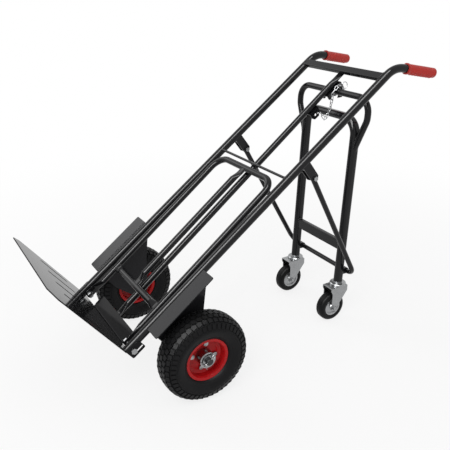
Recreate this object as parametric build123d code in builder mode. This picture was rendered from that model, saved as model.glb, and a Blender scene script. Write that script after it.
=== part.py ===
import os
from math import cos, radians, sin, sqrt

from build123d import *

os.makedirs("parts", exist_ok=True)

# Hand truck standing on its two pneumatic wheels and its two castors, as a trolley.
# Row frame: +Z up, the toe plate toward -Y, the grips toward +Y, left (+X) is the
# left hand of someone who stands behind the grips. Millimetres and degrees.

# Stance
lean = 52.85
wheel_diameter = 260.0
tyre_width = 85.0
wheel_track = 482.0
axle_diameter = 20.0

# Main frame
rail_diameter = 25.0
rail_wall = 2.0
rail_drop = 155.0
toe_drop = 128.0
handle_corner = 978.5
handle_angle = 47.4
handle_splay = 5.0
handle_bend = 80.0
grip_offset = 43.0
grip_length = 115.0
grip_diameter = 30.0
grip_round = 6.0
grip_cap = 5.0
crossbar_along = 928.0
crossbar_wide = 24.0
crossbar_deep = 15.0
slim_diameter = 20.0
slim_wall = 1.6
flat_wide = 27.0
flat_thin = 6.0
stop_rod_along = 512.0
stop_rod_over = 158.0
stop_rod_diameter = 8.0

# Toe plate
sheet = 3.0
toe_rear = 130.0
toe_front = 451.0
toe_bend = 6.0
toe_clip_across = 25.0
toe_clip_along = 30.0
ear_reach = 32.0
ear_top = -85.0
flange_half = 118.0
flange_top = -86.0
slot_count = 5
slot_pitch = 76.0
slot_from = 237.0
slot_to = 351.0
slot_wide = 11.0

# Pivot of the toe extension
pivot_along = -113.5
pivot_over = 149.0
pivot_bolt = 10.0

# Fits
running = 0.05
clear = 0.5
tyre_gap = 4.0
bow_gap = 10.0

# Toe extension
bow_top = 486.0
bow_bend = 45.0
bow_cross = 119.0
cross_flat = 43.0
bow_flat = 5.0
centre_bar_lift = 9.0

# Wheel guards
guard_sheet = 2.5
guard_over = 165.0
guard_past = 6.5
guard_low = -49.0
guard_high = 166.5

# Folding support
stay_along = 578.0
stay_over = 95.0
stay_bolt = 8.0
bail_diameter = 16.0
bail_wall = 1.5
bail_past = 48.5
bail_bend = 40.0
leg_rake = 2.22
leg_back = 593.0
leg_foot = 139.0
leg_half = 117.5
leg_wide = 24.0
leg_deep = 32.0
leg_wall = 1.6
leg_bow_up = 547.0
leg_bow_bend = 50.0
hinge_up = 34.5
loop_diameter = 20.0
mid_bar_up = 128.0
mid_bar_tall = 34.0

# Castors
castor_diameter = 100.0
castor_width = 34.0
castor_trail = 28.0
castor_axle = 8.0
fork_sheet = 2.5
fork_gap = 42.0

# Latch
latch_sheet = 2.5
latch_half = 14.5
latch_pin = 8.0
link_wire = 2.3
link_long = 16.5
link_wide = 10.0
link_gaps = 13

# Derived: the leaning frame, with coordinates across, along the rails and toward the load
rail_radius = rail_diameter / 2
slim_radius = slim_diameter / 2
wheel_radius = wheel_diameter / 2
wheel_x = wheel_track / 2
rail_spacing = wheel_track - tyre_width - 2 * (tyre_gap + guard_sheet) - rail_diameter
rail_x = rail_spacing / 2
bow_half = rail_x - rail_radius - bow_gap - slim_radius
guard_out = wheel_x + guard_past
bail_foot_half = leg_half + bail_past
lean_sin = sin(radians(lean))
lean_cos = cos(radians(lean))
rail_up = Vector(0, lean_sin, lean_cos)
load_side = Vector(0, -lean_cos, lean_sin)
across = Vector(1, 0, 0)
splay_cos = cos(radians(handle_splay))
splay_sin = sin(radians(handle_splay))
handle_rise = cos(radians(handle_angle)) * splay_cos
handle_fall = sin(radians(handle_angle)) * splay_cos

# The origin sits under the middle of the bounding box, so the axle is set forward of it
handle_y = handle_rise * lean_sin + handle_fall * lean_cos
grip_end = grip_offset + grip_length
front_reach = -(toe_drop + sheet) * lean_sin - toe_front * lean_cos
corner_reach = handle_corner * lean_sin - rail_drop * lean_cos
rim_reach = (grip_diameter / 2 - grip_round) * sqrt(1 - handle_y**2) + grip_round
rear_reach = corner_reach + (grip_end - grip_round) * handle_y + rim_reach
axle_y = -(front_reach + rear_reach) / 2
axle_centre = Vector(0, axle_y, wheel_radius)
sides = ((1, "left"), (-1, "right"))


def at(x, s, n):
    """Point across, along the rails and toward the load, from the axle's middle."""
    return axle_centre + across * x + rail_up * s + load_side * n


def along_over(point):
    """The along and load-side coordinates of a point."""
    offset = point - axle_centre
    return offset.dot(rail_up), offset.dot(load_side)


def side_plane(x):
    """Sketch plane of along and load-side coordinates, facing +X."""
    return Plane(origin=at(x, 0, 0), x_dir=rail_up, z_dir=across)


def cross_plane(s):
    """Sketch plane of across and load-side coordinates, facing down the rails."""
    return Plane(origin=at(0, s, 0), x_dir=across, z_dir=-rail_up)


def tube(points, bend, diameter, wall):
    """Hollow round tube on straight runs joined by tangent bends."""
    with BuildLine() as path:
        if len(points) > 2:
            FilletPolyline(*points, radius=bend)
        else:
            Line(*points)
    with BuildSketch(Plane(origin=path.line @ 0, z_dir=path.line % 0)) as ring:
        Circle(diameter / 2)
        Circle(diameter / 2 - wall, mode=Mode.SUBTRACT)
    sweep(ring.sketch, path=path.line)


def rod(start, end, radius, mode=Mode.ADD):
    """Round rod or bore between two points."""
    with BuildSketch(Plane(origin=start, z_dir=end - start)) as disc:
        Circle(radius)
    extrude(disc.sketch, amount=(end - start).length, mode=mode)


def hexagon(start, end, flats):
    """Hexagonal head or nut between two points."""
    with BuildSketch(Plane(origin=start, z_dir=end - start)) as head:
        RegularPolygon(radius=flats / 2, side_count=6, major_radius=False)
    extrude(head.sketch, amount=(end - start).length)


def flattened(round_at, round_dir, flat_at, flat_dir, wide_dir, wide, thin, run, diameter):
    """Crushed end of a tube: round to flat oval, then the flat run on."""
    with BuildSketch(Plane(origin=round_at, x_dir=wide_dir, z_dir=round_dir)) as mouth:
        Circle(diameter / 2)
    with BuildSketch(Plane(origin=flat_at, x_dir=wide_dir, z_dir=flat_dir)) as flat_oval:
        Ellipse(wide / 2, thin / 2)
    loft([mouth.sketch, flat_oval.sketch])
    extrude(flat_oval.sketch, amount=run)


def rails_cut():
    """Take the two rails' solid cylinders out of the open part, to cope its ends."""
    for side in (1, -1):
        foot = at(side * rail_x, -toe_drop, rail_drop)
        rod(foot, at(side * rail_x, handle_corner, rail_drop), rail_radius, Mode.SUBTRACT)


# Rails, bent back at the top into handles
for side, name in sides:
    corner = at(side * rail_x, handle_corner, rail_drop)
    handle = across * side * splay_sin + rail_up * handle_rise - load_side * handle_fall
    tube_end = corner + handle * (grip_end - grip_cap)
    with BuildPart() as rail:
        tube((at(side * rail_x, -toe_drop, rail_drop), corner, tube_end), handle_bend,
             rail_diameter, rail_wall)
        bolt_from = at(side * (rail_x - rail_diameter), pivot_along, pivot_over)
        bolt_to = at(side * (rail_x + rail_diameter), pivot_along, pivot_over)
        rod(bolt_from, bolt_to, pivot_bolt / 2, Mode.SUBTRACT)
    rail.part.label = f"{name}_rail"
    export_step(rail.part, f"parts/{name}_rail.step")

    # Grip: a closed sleeve with a collar, and finger ribs on its underside
    grip_start = corner + handle * grip_offset
    under = (-load_side - handle * (-load_side).dot(handle)).normalized()
    sideways = handle.cross(under)
    rib_arc = 130.0
    rib_from = under * cos(radians(rib_arc / 2)) - sideways * sin(radians(rib_arc / 2))
    grip_radius = grip_diameter / 2
    with BuildPart() as grip:
        with BuildSketch(Plane(origin=grip_start, x_dir=handle, z_dir=handle.cross(under))):
            with BuildLine():
                Polyline((grip_length - grip_cap, 0), (grip_length - grip_cap, rail_radius),
                         (0, rail_radius), (0, grip_radius + 2.5), (5, grip_radius + 2.5),
                         (8, grip_radius), (grip_length - grip_round, grip_radius))
                CenterArc((grip_length - grip_round, grip_radius - grip_round), grip_round, 90, -90)
                Polyline((grip_length, grip_radius - grip_round), (grip_length, 0),
                         (grip_length - grip_cap, 0))
            make_face()
        revolve(axis=Axis(grip_start, handle))
        with BuildSketch(Plane(origin=grip_start, x_dir=handle, z_dir=handle.cross(rib_from))):
            with GridLocations(9, 1, 9, 1):
                with Locations((grip_length / 2, grip_radius)):
                    Rectangle(4, 2.4)
        revolve(axis=Axis(grip_start, handle), revolution_arc=rib_arc)
    grip.part.label = f"{name}_grip"
    export_step(grip.part, f"parts/{name}_grip.step")

# Top crossbar: rectangular tube, its upper face level with the rails
crossbar_over = rail_drop + rail_radius - crossbar_deep / 2
with BuildPart() as top_crossbar:
    with BuildSketch(side_plane(-rail_x)):
        with Locations((crossbar_along, crossbar_over)):
            RectangleRounded(crossbar_wide, crossbar_deep, 2.5)
            RectangleRounded(crossbar_wide - 2 * slim_wall, crossbar_deep - 2 * slim_wall, 1,
                             mode=Mode.SUBTRACT)
    extrude(amount=rail_spacing)
    rails_cut()
top_crossbar.part.label = "top_crossbar"
export_step(top_crossbar.part, "parts/top_crossbar.step")

# Centre rail: slim tube with crushed ends, one behind the toe flange, one under the crossbar
centre_low = at(0, flange_top - 20, toe_rear - flat_thin / 2)
crossbar_under = crossbar_over - crossbar_deep / 2
centre_high = at(0, crossbar_along - 4, crossbar_under - flat_thin / 2)
centre_dir = (centre_high - centre_low).normalized()
centre_normal = across.cross(centre_dir)
centre_length = (centre_high - centre_low).length
with BuildPart() as centre_rail:
    tube((centre_low + centre_dir * 60, centre_high - centre_dir * 50), 0, slim_diameter, slim_wall)
    flattened(centre_low + centre_dir * 60, -centre_dir, centre_low + rail_up * 25, -rail_up,
              across, flat_wide, flat_thin, 39, slim_diameter)
    flattened(centre_high - centre_dir * 50, centre_dir, centre_high - rail_up * 16, rail_up,
              across, flat_wide, flat_thin, 30, slim_diameter)
centre_rail.part.label = "centre_rail"
export_step(centre_rail.part, "parts/centre_rail.step")

# Stop rod between the rails, over the centre rail
with BuildPart() as stop_rod:
    rod(at(-rail_x, stop_rod_along, stop_rod_over), at(rail_x, stop_rod_along, stop_rod_over),
        stop_rod_diameter / 2)
    rails_cut()
stop_rod.part.label = "stop_rod"
export_step(stop_rod.part, "parts/stop_rod.step")

# Toe plate: one sheet with slots, a rear flange and two ears bent up outside the rails
toe_half = rail_x + rail_radius + sheet
ear_front = toe_rear + ear_reach
toe_base = -toe_drop - sheet
relief = flange_half + 4
with BuildPart() as toe_plate:
    with BuildSketch(cross_plane(-toe_drop)):
        with BuildLine():
            edge = ((relief, toe_rear + toe_bend), (relief, toe_rear),
                    (toe_half - toe_bend, toe_rear), (toe_half - toe_bend, ear_front),
                    (toe_half, ear_front), (toe_half, toe_front - toe_clip_along),
                    (toe_half - toe_clip_across, toe_front))
            Polyline(*edge, *((-x, n) for x, n in reversed(edge)), close=True)
        make_face()
        with Locations((0, (slot_from + slot_to) / 2)):
            with GridLocations(slot_pitch, 1, slot_count, 1):
                SlotOverall(slot_to - slot_from, slot_wide, rotation=90, mode=Mode.SUBTRACT)
    extrude(amount=sheet)
    with BuildSketch(side_plane(-flange_half)) as flange_section:
        with BuildLine():
            Polyline((toe_base, toe_rear), (flange_top, toe_rear), (flange_top, toe_rear + sheet),
                     (-toe_drop, toe_rear + sheet), (-toe_drop, toe_rear + 2 * toe_bend),
                     (toe_base, toe_rear + 2 * toe_bend), close=True)
        make_face()
        outer_bend = flange_section.vertices().sort_by_distance((toe_base, toe_rear, 0))[0]
        fillet(outer_bend, toe_bend)
        inner_bend = flange_section.vertices().sort_by_distance((-toe_drop, toe_rear + sheet, 0))[0]
        fillet(inner_bend, toe_bend - sheet)
    extrude(amount=2 * flange_half)
    for side in (1, -1):
        with BuildSketch(Plane(origin=at(0, 0, toe_rear), x_dir=across, z_dir=load_side)) as ear:
            with BuildLine():
                Polyline((side * toe_half, toe_base), (side * toe_half, ear_top),
                         (side * (toe_half - sheet), ear_top),
                         (side * (toe_half - sheet), -toe_drop),
                         (side * (toe_half - 2 * toe_bend), -toe_drop),
                         (side * (toe_half - 2 * toe_bend), toe_base), close=True)
            make_face()
            outer_bend = ear.vertices().sort_by_distance((side * toe_half, toe_base, 0))[0]
            fillet(outer_bend, toe_bend)
        extrude(amount=ear_reach)
        relief_at = at(side * (flange_half + 3), toe_base - 1, toe_rear + 5)
        rod(relief_at, relief_at + rail_up * 12, 5.5, Mode.SUBTRACT)
        ear_edge = at(side * (toe_half - sheet / 2), ear_top, toe_rear)
        fillet(toe_plate.edges().sort_by_distance(ear_edge)[0], 4)
        ear_edge = at(side * (toe_half - sheet / 2), ear_top, ear_front)
        fillet(toe_plate.edges().sort_by_distance(ear_edge)[0], 12)
    with BuildSketch(side_plane(-toe_half - 1)):
        with Locations((pivot_along, pivot_over)):
            Circle(pivot_bolt / 2)
        with Locations((pivot_along + 14, pivot_over - 9.5)):
            SlotOverall(26, 6)
    extrude(amount=2 * toe_half + 2, mode=Mode.SUBTRACT)
toe_plate.part.label = "toe_plate"
export_step(toe_plate.part, "parts/toe_plate.step")

# Pivot bolts of the toe extension, each through ear, rail, spacer and tab
tab_out = bow_half + slim_radius
tab_in = tab_out - bow_flat
rail_in = rail_x - rail_radius


def on_pivot(x):
    """Point on the toe extension's pivot axis."""
    return at(x, pivot_along, pivot_over)


with BuildPart() as pivot_bolts:
    for side in (1, -1):
        rod(on_pivot(side * (tab_in - 11)), on_pivot(side * toe_half), pivot_bolt / 2)
        hexagon(on_pivot(side * toe_half), on_pivot(side * (toe_half + 6)), 16)
        rod(on_pivot(side * (tab_in - 2 - clear)), on_pivot(side * (tab_in - clear)), 10)
        hexagon(on_pivot(side * (tab_in - 10 - clear)), on_pivot(side * (tab_in - 2 - clear)), 16)
        rod(on_pivot(side * (tab_out + clear)), on_pivot(side * rail_in), 8)
pivot_bolts.part.label = "pivot_bolts"
export_step(pivot_bolts.part, "parts/pivot_bolts.step")

# Toe extension: bow that lies on the centre rail, hinged at the toe plate's ears
pivot = at(0, pivot_along, pivot_over)
under_bow = centre_low + centre_dir * ((bow_top - along_over(centre_low)[0]) / centre_dir.dot(rail_up))
bow_top_over = along_over(under_bow)[1] + slim_diameter + clear
bow_end = at(0, bow_top, bow_top_over)
bow_dir = (bow_end - pivot).normalized()
bow_normal = across.cross(bow_dir)
bow_length = (bow_end - pivot).length


def on_bow(x, v, w=0.0):
    """Point across, up the bow from the pivot and toward the load."""
    return pivot + across * x + bow_dir * v + bow_normal * w


tab_middle = tab_out - bow_flat / 2
with BuildPart() as extension_bow:
    tube((on_bow(bow_half, 55), on_bow(bow_half, bow_length), on_bow(-bow_half, bow_length),
          on_bow(-bow_half, 55)), bow_bend, slim_diameter, slim_wall)
    for side in (1, -1):
        flattened(on_bow(side * bow_half, 55), -bow_dir, on_bow(side * tab_middle, 25), -bow_dir,
                  bow_normal, flat_wide, bow_flat, 34, slim_diameter)
        rod(on_bow(side * (tab_in - 10), 0), on_bow(side * (tab_out + 10), 0),
            pivot_bolt / 2 + running, Mode.SUBTRACT)
    with BuildSketch(Plane(origin=on_bow(-tab_out - 1, 0), x_dir=bow_dir, z_dir=across)):
        with Locations((-flat_wide / 2, 0)):
            Rectangle(flat_wide, 2 * flat_wide)
        Circle(flat_wide / 2, mode=Mode.SUBTRACT)
    extrude(amount=2 * tab_out + 2, mode=Mode.SUBTRACT)
extension_bow.part.label = "extension_bow"
export_step(extension_bow.part, "parts/extension_bow.step")


def bow_cut():
    """Cope the open part against the bow's legs and top run."""
    for side in (1, -1):
        rod(on_bow(side * bow_half, 20), on_bow(side * bow_half, bow_length - bow_bend),
            slim_radius, Mode.SUBTRACT)
    rod(on_bow(-bow_half + bow_bend, bow_length), on_bow(bow_half - bow_bend, bow_length),
        slim_radius, Mode.SUBTRACT)


cross_half = bow_half - cross_flat
with BuildPart() as extension_cross_tube:
    tube((on_bow(-cross_half, bow_cross), on_bow(cross_half, bow_cross)), 0, slim_diameter, slim_wall)
    for side in (1, -1):
        flattened(on_bow(side * cross_half, bow_cross), across * side,
                  on_bow(side * (cross_half + 24), bow_cross), across * side,
                  bow_dir, flat_wide, flat_thin, 16, slim_diameter)
    bow_cut()
extension_cross_tube.part.label = "extension_cross_tube"
export_step(extension_cross_tube.part, "parts/extension_cross_tube.step")

bar_foot = on_bow(0, bow_cross + 45, centre_bar_lift)
bar_head = on_bow(0, bow_length - 50, centre_bar_lift)
with BuildPart() as extension_centre_bar:
    tube((bar_foot, bar_head), 0, slim_diameter, slim_wall)
    flattened(bar_foot, -bow_dir, on_bow(0, bow_cross + 22, 5), -bow_dir, across, flat_wide,
              flat_thin, 20, slim_diameter)
    flattened(bar_head, bow_dir, on_bow(0, bow_length - 24, 5), bow_dir, across, flat_wide,
              flat_thin, 22, slim_diameter)
    bow_cut()
    rod(on_bow(-cross_half, bow_cross), on_bow(cross_half, bow_cross), slim_radius, Mode.SUBTRACT)
extension_centre_bar.part.label = "extension_centre_bar"
export_step(extension_centre_bar.part, "parts/extension_centre_bar.step")

# Wheel guards: a flange over the wheel and a web beside it that carries the axle
guard_in = rail_x + rail_radius
guard_web = guard_in + guard_sheet
axle_radius = axle_diameter / 2
boss_radius = 30.0
for side, name in sides:
    with BuildPart() as guard:
        with BuildSketch(side_plane(side * guard_in)):
            with BuildLine():
                Polyline((guard_low, guard_over), (guard_low, 70), (-boss_radius * 0.92, -12),
                         (boss_radius * 0.84, -16), (92, 69), (141, 120), (guard_high, 148),
                         (guard_high, guard_over), close=True)
            make_face()
            Circle(boss_radius)
            Circle(axle_radius, mode=Mode.SUBTRACT)
        extrude(amount=side * guard_sheet)
        with BuildSketch(Plane(origin=at(0, 0, guard_over - guard_sheet), x_dir=across, z_dir=load_side)):
            with Locations((side * (guard_in + guard_out) / 2, (guard_low + guard_high) / 2)):
                Rectangle(guard_out - guard_in, guard_high - guard_low)
        extrude(amount=guard_sheet)
        bend_edge = at(side * guard_in, (guard_low + guard_high) / 2, guard_over)
        fillet(guard.edges().sort_by_distance(bend_edge)[0], guard_sheet * 1.6)
        for along in (guard_low, guard_high):
            tip = at(side * guard_out, along, guard_over - guard_sheet / 2)
            fillet(guard.edges().sort_by_distance(tip)[0], 5)
    guard.part.label = f"{name}_wheel_guard"
    export_step(guard.part, f"parts/{name}_wheel_guard.step")

# Axle, its spacers and washers, and the split pins that keep the wheels on
hub_in = wheel_x - 38.0
hub_out = wheel_x + 31.0
axle_end = wheel_x + 44.0
split_at = axle_end - 6.0
split_wire = 3.0
axle_mid = at(0, 0, 0)
with BuildPart() as axle:
    rod(axle_mid - across * axle_end, axle_mid + across * axle_end, axle_radius)
    chamfer(axle.edges().filter_by(GeomType.CIRCLE), 1.2)
    for side in (1, -1):
        pin_at = axle_mid + across * side * split_at
        rod(pin_at - rail_up * 15, pin_at + rail_up * 15, split_wire / 2, Mode.SUBTRACT)
axle.part.label = "axle"
export_step(axle.part, "parts/axle.step")

with BuildPart() as axle_washers:
    for side in (1, -1):
        for start, end, radius in ((guard_web, hub_in - clear, 15), (hub_out + clear, hub_out + 3.5, 17)):
            with BuildSketch(Plane(origin=axle_mid + across * side * start, z_dir=across * side)):
                Circle(radius)
                Circle(axle_radius, mode=Mode.SUBTRACT)
            extrude(amount=end - start)
axle_washers.part.label = "axle_washers"
export_step(axle_washers.part, "parts/axle_washers.step")

with BuildPart() as split_pins:
    for side in (1, -1):
        pin_at = axle_mid + across * side * split_at
        rod(pin_at - rail_up * 15, pin_at + rail_up * 12.4, split_wire / 2)
        with Locations(Plane(origin=pin_at + rail_up * 17, z_dir=across).location):
            Torus(4, split_wire / 2)
        foot = pin_at - rail_up * 14.5
        for turn in (1, -1):
            rod(foot, foot + load_side * turn * 13 - rail_up * 5, split_wire / 2 - 0.3)
split_pins.part.label = "split_pins"
export_step(split_pins.part, "parts/split_pins.step")

# Main wheels: pneumatic tyre on a split pressed rim, clamped by four bolts round the hub
rim_sheet = 2.4
bead_radius = 56.0
rim_radius = 64.0
bead_out = 26.5
hub_radius = 24.0
bearing_radius = 21.0
bearing_width = 12.0
rim_bolt = 8.0
rim_bolt_circle = 36.6
rim_bolt_turn = 78.0
wheel_bolts = 4
for side, name in sides:
    wheel_at = at(side * wheel_x, 0, 0)
    spin = Axis(wheel_at, across)
    section = Plane(origin=wheel_at, x_dir=across * side, z_dir=(0, -side, 0))
    with BuildPart() as tyre:
        with BuildSketch(section):
            with BuildLine():
                half = tyre_width / 2
                Line((bead_out, bead_radius), (bead_out, 63.5))
                ThreePointArc((bead_out, 63.5), (half - 3.5, 76.5), (half, 93))
                ThreePointArc((half, 93), (half - 2, 109), (half - 9, 121))
                ThreePointArc((half - 9, 121), (17, wheel_radius - 2), (0, wheel_radius))
                Line((0, wheel_radius), (0, wheel_radius - 8.5))
                ThreePointArc((0, wheel_radius - 8.5), (15, 119.3), (27, 114))
                ThreePointArc((27, 114), (34.3, 105), (half - 6, 93))
                ThreePointArc((half - 6, 93), (32, 79), (20, 66))
                Polyline((20, 66), (20, bead_radius), (bead_out, bead_radius))
            make_face()
            mirror(about=Plane.YZ)
        revolve(axis=spin)
    tyre.part.label = f"{name}_tyre"
    export_step(tyre.part, f"parts/{name}_tyre.step")

    # Inner tube, with its valve out through the inner rim's cone
    valve_from = wheel_at + Vector(0, 0, bead_radius + 2.5)
    valve_dir = (-across * side - Vector(0, 0, 1)).normalized()
    with BuildPart() as inner_tube:
        with BuildSketch(section):
            with Locations((0, 87)):
                Ellipse(26.5, 30.6)
                Ellipse(24.5, 28.6, mode=Mode.SUBTRACT)
        revolve(axis=spin)
        rod(valve_from, valve_from + valve_dir * 27, 3.4)
        rod(valve_from + valve_dir * 22, valve_from + valve_dir * 29, 4.2)
    inner_tube.part.label = f"{name}_inner_tube"
    export_step(inner_tube.part, f"parts/{name}_inner_tube.step")

    for face, half_name in ((1, "outer"), (-1, "inner")):
        with BuildPart() as rim:
            with BuildSketch(section):
                with BuildLine():
                    outline = ((0, hub_radius), (0, 46), (6, bead_radius), (bead_out, bead_radius),
                               (bead_out, rim_radius - 2), (bead_out + 1, rim_radius),
                               (bead_out + rim_sheet + 1, rim_radius),
                               (bead_out + rim_sheet, bead_radius), (bead_out - 3, bead_radius - rim_sheet),
                               (7.2, bead_radius - rim_sheet), (rim_sheet, 45.2), (rim_sheet, hub_radius))
                    Polyline(*((face * a, r) for a, r in outline), close=True)
                make_face()
            revolve(axis=spin)
            with BuildSketch(Plane(origin=wheel_at - across * 10, z_dir=across)):
                with PolarLocations(rim_bolt_circle, wheel_bolts, start_angle=rim_bolt_turn):
                    Circle(rim_bolt / 2)
            extrude(amount=20, mode=Mode.SUBTRACT)
            if face < 0:
                rod(valve_from, valve_from + valve_dir * 20, 4, Mode.SUBTRACT)
        rim.part.label = f"{name}_{half_name}_rim"
        export_step(rim.part, f"parts/{name}_{half_name}_rim.step")

    # Hub sleeve with a ball bearing pressed into each end
    low = hub_in - wheel_x
    high = hub_out - wheel_x
    with BuildPart() as hub:
        with BuildSketch(section):
            with BuildLine():
                Polyline((low, hub_radius), (high, hub_radius), (high, bearing_radius),
                         (high - bearing_width, bearing_radius), (high - bearing_width, 17),
                         (low + bearing_width, 17), (low + bearing_width, bearing_radius),
                         (low, bearing_radius), close=True)
            make_face()
        revolve(axis=spin)
    hub.part.label = f"{name}_hub"
    export_step(hub.part, f"parts/{name}_hub.step")

    race_radius = axle_radius + running
    with BuildPart() as bearings:
        for start, way in ((high, -1), (low, 1)):
            end = start + way * bearing_width
            with BuildSketch(section):
                with BuildLine():
                    Polyline((start, bearing_radius), (end, bearing_radius), (end, race_radius),
                             (start, race_radius), (start, 13.5), (start + way, 14),
                             (start + way, 18), (start, 18.5), close=True)
                make_face()
            revolve(axis=spin)
    bearings.part.label = f"{name}_bearings"
    export_step(bearings.part, f"parts/{name}_bearings.step")

    with BuildPart() as rim_bolts:
        with BuildSketch(Plane(origin=wheel_at - across * side * 10.5, z_dir=across * side)):
            with PolarLocations(rim_bolt_circle, wheel_bolts, start_angle=90 - side * (90 - rim_bolt_turn)):
                Circle(rim_bolt / 2)
        extrude(amount=14)
        for start, length in ((rim_sheet, 5.3), (-rim_sheet - 6.5, 6.5)):
            with BuildSketch(Plane(origin=wheel_at + across * side * start, z_dir=across * side)):
                with PolarLocations(rim_bolt_circle, wheel_bolts, start_angle=90 - side * (90 - rim_bolt_turn)):
                    RegularPolygon(radius=6.5, side_count=6, major_radius=False)
            extrude(amount=length)
    rim_bolts.part.label = f"{name}_rim_bolts"
    export_step(rim_bolts.part, f"parts/{name}_rim_bolts.step")

# Stay brackets: channels under the rails, open toward the toe, that hold the bail's ends
bail_radius = bail_diameter / 2
cheek_in = bail_radius + 1.0
cheek_out = cheek_in + guard_sheet
stay_pivot = at(0, stay_along, stay_over)
for side, name in sides:
    with BuildPart() as bracket:
        with BuildSketch(side_plane(side * rail_x - cheek_out)):
            with BuildLine():
                Polyline((stay_along - 13, rail_drop), (stay_along - 13, stay_over),
                         (stay_along - 6, stay_over - 10), (stay_along + 6, stay_over - 10),
                         (stay_along + 14, stay_over), (stay_along + 14, rail_drop), close=True)
            make_face()
            with Locations((stay_along, stay_over)):
                Circle(stay_bolt / 2, mode=Mode.SUBTRACT)
        extrude(amount=2 * cheek_out)
        with BuildSketch(side_plane(side * rail_x - cheek_in)):
            with Locations((stay_along - 14, stay_over + 10)):
                Rectangle(50, 70)
        extrude(amount=2 * cheek_in, mode=Mode.SUBTRACT)
        rails_cut()
        with BuildSketch(Plane(origin=at(0, 0, rail_drop), x_dir=across, z_dir=load_side)):
            with Locations((side * rail_x, stay_along)):
                Rectangle(60, 60)
        extrude(amount=40, mode=Mode.SUBTRACT)
    bracket.part.label = f"{name}_stay_bracket"
    export_step(bracket.part, f"parts/{name}_stay_bracket.step")

with BuildPart() as stay_bolts:
    for side in (1, -1):
        head = stay_pivot + across * side * (rail_x + cheek_out)
        tail = stay_pivot + across * side * (rail_x - cheek_out)
        outward = across * side
        rod(tail - outward * 8, head, stay_bolt / 2)
        hexagon(head, head + outward * 5.5, 13)
        hexagon(tail - outward * 6.5, tail, 13)
stay_bolts.part.label = "stay_bolts"
export_step(stay_bolts.part, "parts/stay_bolts.step")

# Leg plane: across, up the leg and toward the front, from between the legs' feet
leg_sin = sin(radians(leg_rake))
leg_cos = cos(radians(leg_rake))
leg_up = Vector(0, leg_sin, leg_cos)
leg_front = Vector(0, -leg_cos, leg_sin)
leg_origin = Vector(0, axle_y + leg_back, leg_foot)


def on_leg(x, v, w=0.0):
    """Point across, up the leg and toward the front."""
    return leg_origin + across * x + leg_up * v + leg_front * w


# Stay bail: one bent tube whose cross run is the hinge pin behind the legs
hinge_back = leg_deep / 2 + bail_radius + clear
hinge = on_leg(0, hinge_up, -hinge_back)
bail_dir = (hinge - stay_pivot).normalized()
bail_length = (hinge - stay_pivot).length


def on_bail(x, v):
    """Point across and down the bail from its bolts."""
    return stay_pivot + across * x + bail_dir * v


with BuildPart() as stay_bail:
    top_end = 6.0
    taper = (rail_x - bail_foot_half) / bail_length
    end_x = rail_x + taper * top_end
    tube((on_bail(end_x, -top_end), on_bail(bail_foot_half, bail_length),
          on_bail(-bail_foot_half, bail_length), on_bail(-end_x, -top_end)), bail_bend,
         bail_diameter, bail_wall)
    rod(stay_pivot - across * wheel_x, stay_pivot + across * wheel_x, stay_bolt / 2 + running, Mode.SUBTRACT)
stay_bail.part.label = "stay_bail"
export_step(stay_bail.part, "parts/stay_bail.step")

# Height of the latch loop: its crossbar lies just under the latch bracket's roof
loop_radius = loop_diameter / 2
seat_depth = slim_radius + latch_sheet + clear + loop_radius
loop_up = ((centre_low - leg_origin).dot(centre_normal) - seat_depth) / leg_up.dot(centre_normal)


with BuildPart() as leg_bow:
    with BuildLine() as leg_path:
        FilletPolyline(on_leg(leg_half, 0), on_leg(leg_half, leg_bow_up),
                       on_leg(-leg_half, leg_bow_up), on_leg(-leg_half, 0), radius=leg_bow_bend)
    with BuildSketch(Plane(origin=on_leg(leg_half, 0), x_dir=across, z_dir=leg_up)):
        SlotOverall(leg_deep, leg_wide, rotation=90)
        SlotOverall(leg_deep - 2 * leg_wall, leg_wide - 2 * leg_wall, rotation=90, mode=Mode.SUBTRACT)
    sweep()
leg_bow.part.label = "leg_bow"
export_step(leg_bow.part, "parts/leg_bow.step")


def legs_cut():
    """Cope the open part against the two legs' flat-oval solids."""
    for side in (1, -1):
        with BuildSketch(Plane(origin=on_leg(side * leg_half, -5), x_dir=across, z_dir=leg_up)) as oval:
            SlotOverall(leg_deep, leg_wide, rotation=90)
        extrude(oval.sketch, amount=leg_bow_up - leg_bow_bend, mode=Mode.SUBTRACT)


# Latch loop: round tube welded to the legs' outer sides, wider than the legs at the top
loop_foot = (leg_half + 6, 418)
loop_knee = (leg_half + 44, 520)
loop_neck = (leg_half + 44, loop_up)
with BuildPart() as latch_loop:
    right_run = [on_leg(x, v) for x, v in (loop_foot, loop_knee, loop_neck)]
    left_run = [on_leg(-x, v) for x, v in (loop_neck, loop_knee, loop_foot)]
    tube((*right_run, *left_run), 45, loop_diameter, slim_wall)
    legs_cut()
latch_loop.part.label = "latch_loop"
export_step(latch_loop.part, "parts/latch_loop.step")

# Mid bar: pressed channel between the legs, its back open
with BuildPart() as mid_bar:
    with BuildSketch(Plane(origin=on_leg(-leg_half, mid_bar_up), x_dir=leg_up, z_dir=across)) as strip:
        with BuildLine():
            edge = mid_bar_tall / 2
            Polyline((-edge, 8), (edge, 8), (edge, -6), (edge - 2.5, -6), (edge - 2.5, 5.5),
                     (2.5 - edge, 5.5), (2.5 - edge, -6), (-edge, -6), close=True)
        make_face()
        fillet(strip.vertices().sort_by(Axis.Y)[-2:], 3)
    extrude(amount=2 * leg_half)
    legs_cut()
mid_bar.part.label = "mid_bar"
export_step(mid_bar.part, "parts/mid_bar.step")

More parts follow.
